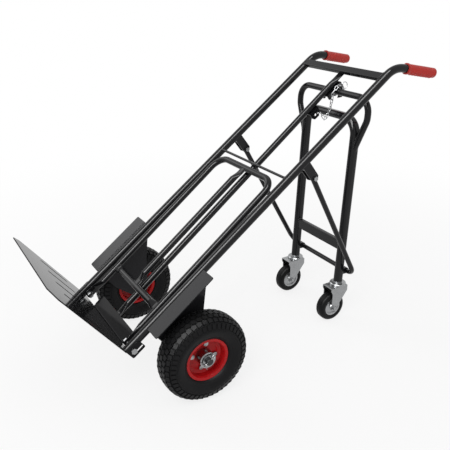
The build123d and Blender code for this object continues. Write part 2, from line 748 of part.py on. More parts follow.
# Hinge saddles: straps on the legs' backs, round the bail's cross run
saddle_wide = 18.0
saddle_wall = 2.5
with BuildPart() as hinge_saddles:
    for side in (1, -1):
        saddle_plane = Plane(origin=on_leg(side * leg_half - saddle_wide / 2, hinge_up),
                             x_dir=leg_up, z_dir=across)
        with BuildSketch(saddle_plane):
            with Locations((0, -hinge_back)):
                Circle(bail_radius + saddle_wall)
            with Locations((0, -hinge_back / 2 - 4)):
                Rectangle(2 * (bail_radius + saddle_wall), hinge_back - 8)
            with Locations((0, -hinge_back)):
                Circle(bail_radius + running, mode=Mode.SUBTRACT)
        extrude(amount=saddle_wide)
    legs_cut()
hinge_saddles.part.label = "hinge_saddles"
export_step(hinge_saddles.part, "parts/hinge_saddles.step")

# Castors: swivel head in the leg's foot, pressed fork with trail, axle bolt, wheel
head_top = leg_foot - 5.5
fork_top = head_top - 7.5
castor_radius = castor_diameter / 2
king_radius = 5.0
for side, name in sides:
    foot = on_leg(side * leg_half, 0)
    swivel = Vector(foot.X, foot.Y, 0)
    up = Vector(0, 0, 1)
    hub_at = swivel + Vector(0, -castor_trail, castor_radius)
    with BuildPart() as castor_head:
        with BuildSketch(Plane(origin=swivel, x_dir=across, z_dir=(0, -1, 0))):
            with BuildLine():
                Polyline((0, head_top), (25.5, head_top), (27.5, head_top - 2), (27.5, fork_top + clear),
                         (25, fork_top + clear), (25, head_top - 3), (king_radius, head_top - 3),
                         (king_radius, fork_top - 6 - clear), (9, fork_top - 6 - clear),
                         (9, fork_top - 12), (0, fork_top - 12), close=True)
            make_face()
        revolve(axis=Axis(swivel, up))
        rod(swivel + up * head_top, swivel + up * (head_top + 3.6), 14)
        rod(foot + leg_up * 0.3, foot + leg_up * 24, leg_wide / 2 - leg_wall)
        with BuildSketch(Plane(origin=swivel + up * head_top, x_dir=across, z_dir=up)):
            SlotOverall(leg_deep - 2 * leg_wall, leg_wide - 2 * leg_wall, rotation=90)
        extrude(amount=6.2)
        with BuildSketch(Plane(origin=foot, x_dir=across, z_dir=leg_up)):
            SlotOverall(leg_deep + 2, leg_wide + 2, rotation=90)
            SlotOverall(leg_deep - 2 * leg_wall, leg_wide - 2 * leg_wall, rotation=90, mode=Mode.SUBTRACT)
        extrude(amount=20, mode=Mode.SUBTRACT)
    castor_head.part.label = f"{name}_castor_head"
    export_step(castor_head.part, f"parts/{name}_castor_head.step")

    # Fork: top plate and two cheeks drawn down to the axle, with a ball-race ring on top
    cheek = fork_gap / 2
    with BuildPart() as castor_fork:
        with BuildSketch(Plane(origin=swivel - across * (cheek + fork_sheet), x_dir=(0, 1, 0), z_dir=across)):
            with BuildLine():
                Polyline((-44, fork_top), (24, fork_top), (24, fork_top - 20), (-castor_trail + 11, castor_radius),
                         (-castor_trail - 11, castor_radius), (-castor_trail - 11, fork_top - 22),
                         (-44, fork_top - 12), close=True)
            make_face()
            with Locations((-castor_trail, castor_radius)):
                Circle(11)
        extrude(amount=2 * (cheek + fork_sheet))
        with BuildSketch(Plane(origin=swivel - across * cheek, x_dir=(0, 1, 0), z_dir=across)):
            with Locations((-10, fork_top / 2 - fork_sheet - 1)):
                Rectangle(90, fork_top + 2)
        extrude(amount=2 * cheek, mode=Mode.SUBTRACT)
        with BuildSketch(Plane(origin=swivel, x_dir=across, z_dir=(0, -1, 0))):
            with BuildLine():
                Polyline((king_radius + running, fork_top - 6), (23, fork_top - 6), (23, fork_top + 4.5 - clear),
                         (19, fork_top + 4.5 - clear), (19, fork_top), (king_radius + running, fork_top),
                         close=True)
            make_face()
        revolve(axis=Axis(swivel, up))
        rod(swivel + up * (fork_top - 8), swivel + up * (fork_top + 8), king_radius + running, Mode.SUBTRACT)
        rod(hub_at - across * 40, hub_at + across * 40, castor_axle / 2, Mode.SUBTRACT)
        for x in (1, -1):
            corner_at = swivel + across * x * (cheek + fork_sheet) + Vector(0, -10, fork_top)
            fillet(castor_fork.edges().sort_by_distance(corner_at)[0], fork_sheet)
    castor_fork.part.label = f"{name}_castor_fork"
    export_step(castor_fork.part, f"parts/{name}_castor_fork.step")

    with BuildPart() as castor_bolt:
        grip_half = cheek + fork_sheet
        rod(hub_at - across * (grip_half + 8), hub_at + across * grip_half, castor_axle / 2)
        hexagon(hub_at + across * grip_half, hub_at + across * (grip_half + 5.3), 13)
        hexagon(hub_at - across * (grip_half + 6.5), hub_at - across * grip_half, 13)
    castor_bolt.part.label = f"{name}_castor_axle"
    export_step(castor_bolt.part, f"parts/{name}_castor_axle.step")

    half = castor_width / 2
    tread_in = 30.5
    castor_spin = Axis(hub_at, across)
    castor_section = Plane(origin=hub_at, x_dir=across, z_dir=(0, -1, 0))
    with BuildPart() as castor_tyre:
        with BuildSketch(castor_section):
            with BuildLine():
                Line((0, tread_in), (half - 2, tread_in))
                ThreePointArc((half - 2, tread_in), (half, 40), (half - 4, 46.5))
                ThreePointArc((half - 4, 46.5), (6, castor_radius - 0.8), (0, castor_radius))
                Line((0, castor_radius), (0, tread_in))
            make_face()
            mirror(about=Plane.YZ)
        revolve(axis=castor_spin)
    castor_tyre.part.label = f"{name}_castor_tyre"
    export_step(castor_tyre.part, f"parts/{name}_castor_tyre.step")

    with BuildPart() as castor_hub:
        with BuildSketch(castor_section):
            with BuildLine():
                Polyline((0, castor_axle / 2 + running), (cheek - clear, castor_axle / 2 + running),
                         (cheek - clear, 9), (half - 3, 12), (half - 6, 24), (half - 3, 26), (half - 2, tread_in),
                         (0, tread_in), close=True)
            make_face()
            mirror(about=Plane.YZ)
        revolve(axis=castor_spin)
    castor_hub.part.label = f"{name}_castor_hub"
    export_step(castor_hub.part, f"parts/{name}_castor_hub.step")

# Latch brackets under the centre rail, drawn along it from its lower end
loop_cross = on_leg(0, loop_up)
loop_along = (loop_cross - centre_low).dot(centre_dir)
loop_below = -seat_depth


def latch_plane(x):
    """Sketch plane along the centre rail and toward the load, from below the loop's crossbar seat."""
    return Plane(origin=centre_low + centre_dir * loop_along + centre_normal * loop_below + across * x,
                 x_dir=centre_dir, z_dir=across)


def latch_channel(outline):
    """Channel with its roof against the centre rail: two cheeks of one outline."""
    with BuildSketch(latch_plane(-latch_half)) as cheek_face:
        with BuildLine():
            Polyline(*outline, close=True)
        make_face()
    extrude(cheek_face.sketch, amount=2 * latch_half)
    with BuildSketch(latch_plane(latch_sheet - latch_half)) as hollow:
        with Locations((-75, roof_under - 60)):
            Rectangle(300, 120)
    extrude(hollow.sketch, amount=2 * (latch_half - latch_sheet), mode=Mode.SUBTRACT)
    rod(centre_low, centre_high, slim_radius, Mode.SUBTRACT)


roof_under = loop_radius + clear
roof_top = roof_under + latch_sheet
pin_collar = 6.0
pin_ahead = loop_radius + pin_collar + clear
pin_lift = 2.0
notch_radius = loop_radius + 1.5
notch_way = 38.0
notch_drift = 3.0
with BuildPart() as upper_latch:
    latch_channel(((-36, roof_top), (-36, -2), (6, -30), (22, -30), (30, -10), (30, roof_top)))
    with BuildSketch(latch_plane(-latch_half - 1)):
        Circle(notch_radius)
        with Locations(Plane.XY.rotated((0, 0, notch_way))):
            with Locations((-42, notch_drift / 2)):
                Rectangle(80, 2 * notch_radius + notch_drift)
        with Locations((pin_ahead, pin_lift)):
            Circle(latch_pin / 2 + running)
    extrude(amount=2 * latch_half + 2, mode=Mode.SUBTRACT)
upper_latch.part.label = "upper_latch_bracket"
export_step(upper_latch.part, "parts/upper_latch_bracket.step")

rest_front = -118.0
park_hole = (-102.0, -2.0)
anchor_hole = (-92.0, -3.0)
with BuildPart() as lower_latch:
    latch_channel(((rest_front, roof_top), (rest_front, -4), (rest_front + 6, -13), (rest_front + 24, -14),
                   (rest_front + 34, -4), (rest_front + 38, roof_top)))
    with BuildSketch(latch_plane(-latch_half - 1)):
        with Locations(park_hole):
            Circle(latch_pin / 2 + running)
        with Locations(anchor_hole):
            Circle(3)
    extrude(amount=2 * latch_half + 2, mode=Mode.SUBTRACT)
lower_latch.part.label = "lower_latch_bracket"
export_step(lower_latch.part, "parts/lower_latch_bracket.step")


def on_latch(x, a, h):
    """Point across, along the centre rail and toward the load, from the crossbar's seat."""
    return latch_plane(x).from_local_coords((a, h, 0))


# Locking pin with its pull ring, slid in from the left
pin_neck = latch_half + 12.0
ring_radius = 11.0
ring_wire = 2.2
with BuildPart() as locking_pin:
    rod(on_latch(-latch_half - 9, pin_ahead, pin_lift), on_latch(pin_neck + 5, pin_ahead, pin_lift), latch_pin / 2)
    tip = on_latch(-latch_half - 9, pin_ahead, pin_lift)
    chamfer(locking_pin.edges().filter_by(GeomType.CIRCLE).sort_by_distance(tip)[0], 2)
    rod(on_latch(latch_half + clear, pin_ahead, pin_lift), on_latch(latch_half + 4, pin_ahead, pin_lift), pin_collar)
    eye = on_latch(pin_neck, pin_ahead, pin_lift)
    rod(eye - centre_normal * 9, eye + centre_normal * 9, ring_wire / 2 + 0.9, Mode.SUBTRACT)
locking_pin.part.label = "locking_pin"
export_step(locking_pin.part, "parts/locking_pin.step")

with BuildPart() as pin_ring:
    with Locations(Plane(origin=eye + centre_dir * ring_radius, z_dir=across).location):
        Torus(ring_radius, ring_wire / 2)
pin_ring.part.label = "pin_ring"
export_step(pin_ring.part, "parts/pin_ring.step")

# Chain anchor: a ring through the lower bracket's left cheek, standing off its sloping edge
anchor_radius = 6.0
anchor_wire = 2.0
edge_slope = radians(45)
anchor_out = centre_dir * sin(edge_slope) - centre_normal * cos(edge_slope)
anchor_edge = centre_dir * cos(edge_slope) + centre_normal * sin(edge_slope)
anchor = on_latch(latch_half - latch_sheet / 2, *anchor_hole) + anchor_out * anchor_radius
with BuildPart() as chain_anchor:
    with Locations(Plane(origin=anchor, z_dir=anchor_edge).location):
        Torus(anchor_radius, anchor_wire / 2)
chain_anchor.part.label = "chain_anchor"
export_step(chain_anchor.part, "parts/chain_anchor.step")

# Pin chain: welded links from the pull ring, over the loop's crossbar, down to the anchor ring
link_slack = 0.25
hang_turn = radians(125)
ring_out = centre_dir * cos(hang_turn) + centre_normal * sin(hang_turn)
ring_point = eye + centre_dir * ring_radius + ring_out * ring_radius
anchor_point = anchor + anchor_out * anchor_radius
half_link = link_long / 2 - link_wire
chain_top = ring_point + ring_out * (half_link - ring_wire / 2 - link_slack)
drape = ((28, 4, 20, 0), (27, -20, 14, 0.2), (25, -35, -3, 0.5), (22, -54, -22, 0.8), (20, -74, -36, 1))


def hang(sag):
    """The chain's middle line, with its lowest links let down by sag."""
    low = on_latch(19, -88, -40) - Vector(0, 0, sag)
    back = (anchor_point - low).normalized()
    foot = anchor_point - back * (half_link - anchor_wire / 2 - link_slack)
    points = [on_latch(x, a, h) - Vector(0, 0, sag * share) for x, a, h, share in drape]
    with BuildLine() as line:
        Spline(chain_top, *points, low, foot, tangents=(ring_out, back))
    return line.edges()[0]


# The sag that takes up all the links; an odd number of gaps lays each end link across its ring
chain_long = link_gaps * (link_long - 2 * link_wire - link_slack)
least_sag = -25.0
most_sag = 75.0
for halving in range(20):
    sag = (least_sag + most_sag) / 2
    if hang(sag).length < chain_long:
        least_sag = sag
    else:
        most_sag = sag
chain_curve = hang(sag)
with BuildPart() as pin_chain:
    for number in range(link_gaps + 1):
        middle = chain_curve @ (number / link_gaps)
        link_dir = chain_curve % (number / link_gaps)
        flat = across - link_dir * across.dot(link_dir)
        if number % 2 == 0:
            flat = flat.cross(link_dir)
        link_plane = Plane(origin=middle, x_dir=link_dir, z_dir=flat)
        with BuildLine(link_plane) as link_path:
            straight = (link_long - link_wide) / 2
            bend = (link_wide - link_wire) / 2
            Line((-straight, -bend), (straight, -bend))
            CenterArc((straight, 0), bend, -90, 180)
            Line((straight, bend), (-straight, bend))
            CenterArc((-straight, 0), bend, 90, 180)
        with BuildSketch(Plane(origin=link_path.line @ 0, z_dir=link_path.line % 0)):
            Circle(link_wire / 2)
        sweep()
pin_chain.part.label = "pin_chain"
export_step(pin_chain.part, "parts/pin_chain.step")
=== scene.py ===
from math import atan2, cos, pi, radians, sin

import bmesh
import bpy
from bpy.props import FloatProperty, FloatVectorProperty, IntProperty, PointerProperty
from mathutils import Matrix, Vector
from mathutils.bvhtree import BVHTree


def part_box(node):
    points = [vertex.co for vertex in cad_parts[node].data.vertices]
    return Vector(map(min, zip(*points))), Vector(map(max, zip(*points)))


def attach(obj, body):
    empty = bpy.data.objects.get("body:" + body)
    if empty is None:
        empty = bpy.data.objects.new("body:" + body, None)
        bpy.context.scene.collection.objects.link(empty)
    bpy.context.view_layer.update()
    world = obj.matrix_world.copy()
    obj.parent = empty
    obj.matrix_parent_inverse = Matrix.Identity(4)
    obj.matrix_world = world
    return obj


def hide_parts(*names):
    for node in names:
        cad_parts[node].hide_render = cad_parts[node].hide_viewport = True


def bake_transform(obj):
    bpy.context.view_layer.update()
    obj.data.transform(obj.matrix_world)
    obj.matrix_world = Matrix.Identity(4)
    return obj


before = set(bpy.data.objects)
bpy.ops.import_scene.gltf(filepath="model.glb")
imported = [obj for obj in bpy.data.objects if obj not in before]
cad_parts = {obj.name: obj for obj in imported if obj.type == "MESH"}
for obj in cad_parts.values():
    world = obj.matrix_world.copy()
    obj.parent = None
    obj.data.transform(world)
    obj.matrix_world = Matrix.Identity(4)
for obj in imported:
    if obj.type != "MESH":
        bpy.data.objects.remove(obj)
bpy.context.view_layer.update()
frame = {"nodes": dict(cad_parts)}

bl_info = {
    "name": "Hand truck dressing",
    "version": (1, 0, 0),
    "blender": (4, 5, 0),
    "location": "View3D > Sidebar > Hand truck",
    "description": "Tread, grips, chain, latch loop, welds and finishes on the hand truck's CAD frame",
    "category": "Object",
}

# The leaning frame, as the CAD part has it, in metres
LEAN = radians(52.85)
ACROSS = Vector((1, 0, 0))
RAIL_UP = Vector((0, sin(LEAN), cos(LEAN)))
SIDES = {"left": 1, "right": -1}

# The middle of the legs' soles, and the way up along the legs
LEG_SOLE = Vector((0, 0.35984, 0.139))
LEG_UP = Vector((0, 0.038737, 0.999249))

# The point on the rails that the narrow lamp and the gloss card face
RAIL_MIDDLE = (0.15, 0.1, 0.5)


def middle(node):
    """Middle of a CAD node's box."""
    low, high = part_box(node)
    return (low + high) / 2


# Node trees

class Field:
    """A socket in an expression: each operator adds a Math node."""

    def __init__(self, nodes, socket):
        self.nodes = nodes
        self.socket = socket

    def out(self, name):
        """Another output of the same node."""
        return Field(self.nodes, self.socket.node.outputs[name])

    def maths(self, operation, first, second=0.0):
        return self.nodes.node("ShaderNodeMath", {"operation": operation}, {0: first, 1: second})

    def __add__(self, other):
        return self.maths("ADD", self, other)

    def __radd__(self, other):
        return self.maths("ADD", other, self)

    def __sub__(self, other):
        return self.maths("SUBTRACT", self, other)

    def __rsub__(self, other):
        return self.maths("SUBTRACT", other, self)

    def __mul__(self, other):
        return self.maths("MULTIPLY", self, other)

    def __rmul__(self, other):
        return self.maths("MULTIPLY", other, self)

    def __truediv__(self, other):
        return self.maths("DIVIDE", self, other)

    def __rtruediv__(self, other):
        return self.maths("DIVIDE", other, self)

    def __mod__(self, other):
        return self.maths("MODULO", self, other)

    def cos(self):
        return self.maths("COSINE", self)

    def sin(self):
        return self.maths("SINE", self)

    def step(self, low, high):
        """Smooth rise from 0 at low to 1 at high."""
        return self.nodes.node("ShaderNodeMapRange", {"interpolation_type": "SMOOTHSTEP"},
                               {"Value": self, "From Min": low, "From Max": high})


class Nodes:
    """A node tree that is filled by one method."""

    def __init__(self, tree):
        self.tree = tree

    def node(self, kind, settings=None, inputs=None, output=0):
        made = self.tree.nodes.new(kind)
        for key, value in (settings or {}).items():
            setattr(made, key, value)
        for key, value in (inputs or {}).items():
            self.feed(made.inputs[key], value)
        return Field(self, made.outputs[output])

    def feed(self, socket, value):
        if isinstance(value, Field):
            self.tree.links.new(value.socket, socket)
        else:
            socket.default_value = value


class Finish(Nodes):
    """A material on object coordinates. Constants go on the shader's own sockets."""

    def __init__(self, name, **constants):
        self.material = bpy.data.materials.new(name)
        self.material.use_nodes = True
        super().__init__(self.material.node_tree)
        self.shader = self.tree.nodes["Principled BSDF"]
        for key, value in constants.items():
            self.shader.inputs[key.replace("_", " ")].default_value = value
        self.place = self.node("ShaderNodeTexCoord").out("Object")

    def noise(self, scale, detail=2.0, roughness=0.5, place=None):
        return self.node("ShaderNodeTexNoise", None,
                         {"Vector": place or self.place, "Scale": scale, "Detail": detail,
                          "Roughness": roughness})

    def stretched(self, scale):
        """Object coordinates scaled apart on the three axes."""
        return self.node("ShaderNodeMapping", None, {"Vector": self.place, "Scale": scale})

    def mix(self, factor, first, second):
        return self.node("ShaderNodeMix", {"data_type": "RGBA"}, {0: factor, 6: first, 7: second}, 2)

    def bump(self, height, strength, distance):
        return self.node("ShaderNodeBump", None,
                         {"Height": height, "Strength": strength, "Distance": distance})

    def wear(self, colour=None, roughness=None, normal=None):
        """Links what varies over the surface."""
        for key, value in (("Base Color", colour), ("Roughness", roughness), ("Normal", normal)):
            if value is not None:
                self.feed(self.shader.inputs[key], value)
        return self.material


def tint(colour, factor):
    """A colour made darker or lighter, with full alpha."""
    return tuple(min(1.0, c * factor) for c in colour[:3]) + (1.0,)


def paint(name, colour, rough, shine, peel):
    """Sprayed or powder paint: orange peel, faint unevenness and a few fine scuffs."""
    finish = Finish(name, Specular_IOR_Level=shine)
    cloud = finish.noise(14, 5, 0.6)
    scuff = finish.noise(1.0, 4, 0.6, finish.stretched((90, 14, 22))).step(0.68, 0.78)
    base = finish.mix(cloud, tint(colour, 0.86), tint(colour, 1.16))
    worn = finish.mix(scuff * 0.2, base, tint(colour, 1.8))
    waves = finish.noise(110, 1)
    return finish.wear(worn, rough + (cloud - 0.5) * 0.05 + scuff * 0.05, finish.bump(waves, peel, 0.0001))


def rubber(name, colour, rough, grain_scale):
    """Black rubber: matt, with a fine grain and a little dust."""
    finish = Finish(name, Specular_IOR_Level=0.11)
    grain = finish.noise(grain_scale, 3, 0.6)
    dust = finish.noise(22, 6, 0.62).step(0.45, 0.85)
    base = finish.mix(grain, tint(colour, 0.8), tint(colour, 1.25))
    return finish.wear(finish.mix(dust * 0.35, base, tint(colour, 2.4)), rough + (grain - 0.5) * 0.14,
                       finish.bump(grain, 0.08, 0.0003))


def plating(name, colour, rough, streak):
    """Bright zinc: mottled crystals, fine draw lines and soft stains; the mottled base colour is also painted
    reflection, light and dark streaks painted in.
    """
    finish = Finish(name, Metallic=1.0)
    crystals = finish.node("ShaderNodeTexVoronoi", None, {"Vector": finish.place, "Scale": 260})
    stain = finish.noise(35, 5, 0.6)
    lines = finish.noise(1.0, 3, 0.6, finish.stretched(streak))
    # Crystal and stain mottle in the base colour: partly the zinc's own uneven tone, partly painted
    # reflection standing in for light and dark surroundings
    mottle_and_painted_reflection = crystals.out("Distance") * 0.4 + stain * 0.6
    base = finish.mix(mottle_and_painted_reflection, tint(colour, 0.7), tint(colour, 1.35))
    return finish.wear(base, rough + (stain - 0.5) * 0.22 + (lines - 0.5) * 0.12,
                       finish.bump(lines + crystals.out("Distance") * 0.3, 0.12, 0.0002))


def grip_vinyl(name, colour):
    """Soft red plastic with a fine moulded grain."""
    finish = Finish(name, Specular_IOR_Level=0.28)
    pores = finish.node("ShaderNodeTexVoronoi", {"feature": "SMOOTH_F1"}, {
        "Vector": finish.place, "Scale": 700})
    cloud = finish.noise(40, 4, 0.6)
    handled = finish.noise(120, 5, 0.7).step(0.55, 0.8)
    base = finish.mix(cloud, tint(colour, 0.86), tint(colour, 1.12))
    return finish.wear(finish.mix(handled * 0.3, base, tint(colour, 0.62)), 0.46 + (cloud - 0.5) * 0.12,
                       finish.bump(pores.out("Distance"), 0.35, 0.0004))


# Mesh pieces

def add_mesh(name, mesh_data, finish):
    """Object at the origin with one material."""
    mesh_data.materials.clear()
    mesh_data.materials.append(finish)
    made = bpy.data.objects.new(name, mesh_data)
    bpy.context.scene.collection.objects.link(made)
    return made


def from_bmesh(name, bm, finish, smooth=radians(40)):
    """Closes a bmesh into an object, faces outward, smooth below an angle."""
    bmesh.ops.remove_doubles(bm, verts=bm.verts, dist=1e-6)
    bmesh.ops.recalc_face_normals(bm, faces=bm.faces)
    mesh_data = bpy.data.meshes.new(name)
    bm.to_mesh(mesh_data)
    bm.free()
    for face in mesh_data.polygons:
        face.use_smooth = True
    mesh_data.set_sharp_from_angle(angle=smooth)
    return add_mesh(name, mesh_data, finish)


def lathe(bm, profile, centre, segments):
    """Revolves a closed outline of (across, radius) points about the X axis through centre."""
    rings = []
    for number in range(segments):
        turn = 2 * pi * number / segments
        rings.append([bm.verts.new(centre + Vector((a, r * cos(turn), r * sin(turn)))) for a, r in profile])
    count = len(profile)
    for number, ring in enumerate(rings):
        nearby = rings[(number + 1) % segments]
        for step in range(count):
            bm.faces.new((ring[step], ring[(step + 1) % count], nearby[(step + 1) % count], nearby[step]))


def dress(piece, body, slot, *nodes):
    """The piece rides on a body and stands for CAD nodes, which it hides; the slot is not used."""
    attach(piece, body)
    if nodes:
        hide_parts(*nodes)
    return piece


def join(name, parts, finish):
    """One plain mesh of several, at the origin."""
    bm = bmesh.new()
    for part in parts:
        bm.from_mesh(part.data)
        bpy.data.objects.remove(part)
    mesh_data = bpy.data.meshes.new(name)
    bm.to_mesh(mesh_data)
    bm.free()
    return add_mesh(name, mesh_data, finish)


class Growth(Nodes):
    """A Geometry Nodes tree with named inputs, run once into a plain mesh."""

    kinds = {"float": "NodeSocketFloat", "int": "NodeSocketInt", "vector": "NodeSocketVector",
             "material": "NodeSocketMaterial"}

    def __init__(self, name, **inputs):
        super().__init__(bpy.data.node_groups.new(name, "GeometryNodeTree"))
        self.tree.interface.new_socket("Geometry", in_out="INPUT", socket_type="NodeSocketGeometry")
        self.tree.interface.new_socket("Geometry", in_out="OUTPUT", socket_type="NodeSocketGeometry")
        self.sockets = {key: self.tree.interface.new_socket(key, in_out="INPUT", socket_type=self.kinds[kind])
                        for key, kind in {**inputs, "Finish": "material"}.items()}
        self.entry = self.node("NodeGroupInput")

    def get(self, name):
        return self.entry.out(name)

    def end(self, geometry, smooth):
        """Realize, shade, set the material and leave."""
        real = self.node("GeometryNodeRealizeInstances", None, {"Geometry": geometry})
        shaded = self.node("GeometryNodeSetShadeSmooth", None, {"Geometry": real, "Shade Smooth": smooth})
        done = self.node("GeometryNodeSetMaterial", None, {
            "Geometry": shaded, "Material": self.get("Finish")})
        leave = self.tree.nodes.new("NodeGroupOutput")
        self.tree.links.new(done.socket, leave.inputs[0])

    def run(self, name, source=None, **values):
        """Evaluates the tree on an object with those inputs and returns a plain mesh object."""
        carrier = source or bpy.data.objects.new(name, bpy.data.meshes.new(name))
        if source is None:
            bpy.context.scene.collection.objects.link(carrier)
        modifier = carrier.modifiers.new("growth", "NODES")
        modifier.node_group = self.tree
        for key, value in values.items():
            modifier[self.sockets[key].identifier] = value
        graph = bpy.context.evaluated_depsgraph_get()
        mesh_data = bpy.data.meshes.new_from_object(carrier.evaluated_get(graph))
        carrier.modifiers.remove(modifier)
        bpy.data.objects.remove(carrier)
        return add_mesh(name, mesh_data, values["Finish"])


def tread_tree():
    """A row of tapered blocks round the X axis."""
    tree = Growth("tread row", Count="int", Centre="vector", Radius="float", Offset="float", Phase="float",
                  Width="float", Length="float", Height="float", Taper="float", Tilt="float", Skew="float")
    block = tree.node("GeometryNodeMeshCube", None, {"Size": tree.node(
        "ShaderNodeCombineXYZ", None, {0: tree.get("Width"), 1: tree.get("Length"), 2: tree.get("Height")})})
    facing = tree.node("ShaderNodeSeparateXYZ", None, {0: tree.node("GeometryNodeInputNormal")}, 2)
    top = tree.node("FunctionNodeCompare", {"operation": "GREATER_THAN"}, {0: facing, 1: 0.5})
    block = tree.node("GeometryNodeScaleElements", None, {
        "Geometry": block, "Selection": top, "Scale": tree.get("Taper")})
    turned = tree.node("GeometryNodeTransform", None, {
        "Geometry": block, "Rotation": tree.node("ShaderNodeCombineXYZ", None, {
            1: tree.get("Tilt"), 2: tree.get("Skew")})})
    turn = tree.node("GeometryNodeInputIndex") * (2 * pi) / tree.get("Count") + tree.get("Phase")
    ring = tree.node("ShaderNodeCombineXYZ", None, {
        0: tree.get("Offset"), 1: turn.cos() * tree.get("Radius"), 2: turn.sin() * tree.get("Radius")})
    spot = tree.node("ShaderNodeVectorMath", {"operation": "ADD"}, {0: ring, 1: tree.get("Centre")})
    points = tree.node("GeometryNodePoints", None, {"Count": tree.get("Count"), "Position": spot})
    facing_out = tree.node("ShaderNodeCombineXYZ", None, {0: turn - pi / 2})
    rows = tree.node("GeometryNodeInstanceOnPoints", None, {
        "Points": points, "Instance": turned, "Rotation": facing_out})
    tree.end(rows, False)
    return tree


def chain_tree():
    """Welded links along a curve, every second one turned a quarter."""
    tree = Growth("chain links", Count="int", Long="float", Wide="float", Wire="float")
    line = tree.node("GeometryNodeCurveSplineType", {"spline_type": "CATMULL_ROM"}, {
        "Curve": tree.get("Geometry")})
    spread = tree.node("GeometryNodeCurveToPoints", {"mode": "COUNT"}, {
        "Curve": line, "Count": tree.get("Count")})
    outline = tree.node("GeometryNodeCurvePrimitiveQuadrilateral", None, {
        "Width": tree.get("Long") - tree.get("Wire"), "Height": tree.get("Wide") - tree.get("Wire")})
    outline = tree.node("GeometryNodeFilletCurve", {"mode": "POLY"}, {
        "Curve": outline, "Radius": (tree.get("Wide") - tree.get("Wire")) * 0.499, "Count": 7})
    wire = tree.node("GeometryNodeCurvePrimitiveCircle", None, {
        "Resolution": 10, "Radius": tree.get("Wire") / 2})
    link = tree.node("GeometryNodeCurveToMesh", None, {"Curve": outline, "Profile Curve": wire})
    along = tree.node("FunctionNodeAlignRotationToVector", {"axis": "X"}, {"Vector": spread.out("Tangent")})
    quarter = tree.node("GeometryNodeInputIndex") % 2 * (pi / 2)
    roll = tree.node("FunctionNodeEulerToRotation", None, {
        0: tree.node("ShaderNodeCombineXYZ", None, {0: quarter})})
    turned = tree.node("FunctionNodeRotateRotation", {"rotation_space": "LOCAL"}, {0: along, 1: roll})
    links = tree.node("GeometryNodeInstanceOnPoints", None, {
        "Points": spread.out("Points"), "Instance": link, "Rotation": turned})
    tree.end(links, True)
    return tree


def bead_tree():
    """Overlapping drops of weld along a seam, uneven in size."""
    tree = Growth("weld bead", Pitch="float", Size="float")
    spots = tree.node("GeometryNodeCurveToPoints", {"mode": "LENGTH"}, {
        "Curve": tree.get("Geometry"), "Length": tree.get("Pitch")})
    drop = tree.node("GeometryNodeMeshIcoSphere", None, {"Radius": tree.get("Size"), "Subdivisions": 2})
    uneven = tree.node("FunctionNodeRandomValue", {"data_type": "FLOAT"}, {2: 0.8, 3: 1.15, "Seed": 4}, 1)
    drops = tree.node("GeometryNodeInstanceOnPoints", None, {
        "Points": spots, "Instance": drop, "Scale": uneven})
    tree.end(drops, True)
    return tree


def tube_tree():
    """Round tube along a path, its corners bent to one radius."""
    tree = Growth("bent tube", Bend="float", Radius="float")
    path = tree.node("GeometryNodeFilletCurve", {"mode": "POLY"}, {
        "Curve": tree.get("Geometry"), "Radius": tree.get("Bend"), "Limit Radius": True, "Count": 24})
    path = tree.node("GeometryNodeResampleCurve", {"mode": "LENGTH"}, {"Curve": path, "Length": 0.0025})
    section = tree.node("GeometryNodeCurvePrimitiveCircle", None, {
        "Resolution": 28, "Radius": tree.get("Radius")})
    tube = tree.node("GeometryNodeCurveToMesh", None, {
        "Curve": path, "Profile Curve": section, "Fill Caps": True})
    tree.end(tube, True)
    return tree


def path_object(name, routes, cyclic=False):
    """Curve object of straight runs, one spline for each route."""
    curve = bpy.data.curves.new(name, "CURVE")
    curve.dimensions = "3D"
    for route in routes:
        spline = curve.splines.new("POLY")
        spline.points.add(len(route) - 1)
        spline.use_cyclic_u = cyclic
        for point, place in zip(spline.points, route):
            point.co = (*place, 1.0)
    made = bpy.data.objects.new(name, curve)
    bpy.context.scene.collection.objects.link(made)
    return made


def seams(branch, trunk, reach=0.0008, sectors=28):
    """The loops where a mesh's two ends meet a trunk of CAD nodes, each as a ring of points."""
    bm = bmesh.new()
    for node in trunk:
        bm.from_mesh(frame["nodes"][node].data)
    surface = BVHTree.FromBMesh(bm)
    bm.free()
    near = [vert.co.copy() for vert in branch.vertices
            if surface.find_nearest(vert.co, reach)[0] is not None]
    rings = []
    for side in (1, -1):
        ends = [spot for spot in near if spot.x * side > 0]
        low = Vector(min(spot[axis] for spot in ends) for axis in range(3))
        high = Vector(max(spot[axis] for spot in ends) for axis in range(3))
        centre = (low + high) / 2
        outer = {}
        for spot in ends:
            arm = spot - centre
            turn = round(atan2(arm.z, arm.y) * sectors / (2 * pi)) % sectors
            if turn not in outer or arm.yz.length > (outer[turn] - centre).yz.length:
                outer[turn] = spot
        rings.append([outer[turn] for turn in sorted(outer)])
    return rings


# Settings that a user would change

class TruckColours(bpy.types.PropertyGroup):
    frame: FloatVectorProperty(name="Frame", description="Satin paint of the tubes", subtype="COLOR",
                               default=(0.0085, 0.0085, 0.0095))
    guard: FloatVectorProperty(name="Guards", description="Paint of the pressed sheet guards",
                               subtype="COLOR", default=(0.017, 0.017, 0.019))
    toe: FloatVectorProperty(name="Toe plate", description="Gloss paint of the toe plate", subtype="COLOR",
                             default=(0.012, 0.012, 0.013))
    rim: FloatVectorProperty(name="Rims", description="Gloss paint of the rims", subtype="COLOR",
                             default=(0.42, 0.008, 0.010))
    grip: FloatVectorProperty(name="Grips", description="Soft plastic of the grips", subtype="COLOR",
                              default=(0.44, 0.022, 0.015))
    tyre: FloatVectorProperty(name="Tyres", description="Rubber of the tyres", subtype="COLOR",
                              default=(0.0055, 0.0055, 0.006))
    zinc: FloatVectorProperty(name="Zinc", description="Plating of bolts, forks and chain", subtype="COLOR",
                              default=(0.30, 0.305, 0.31))


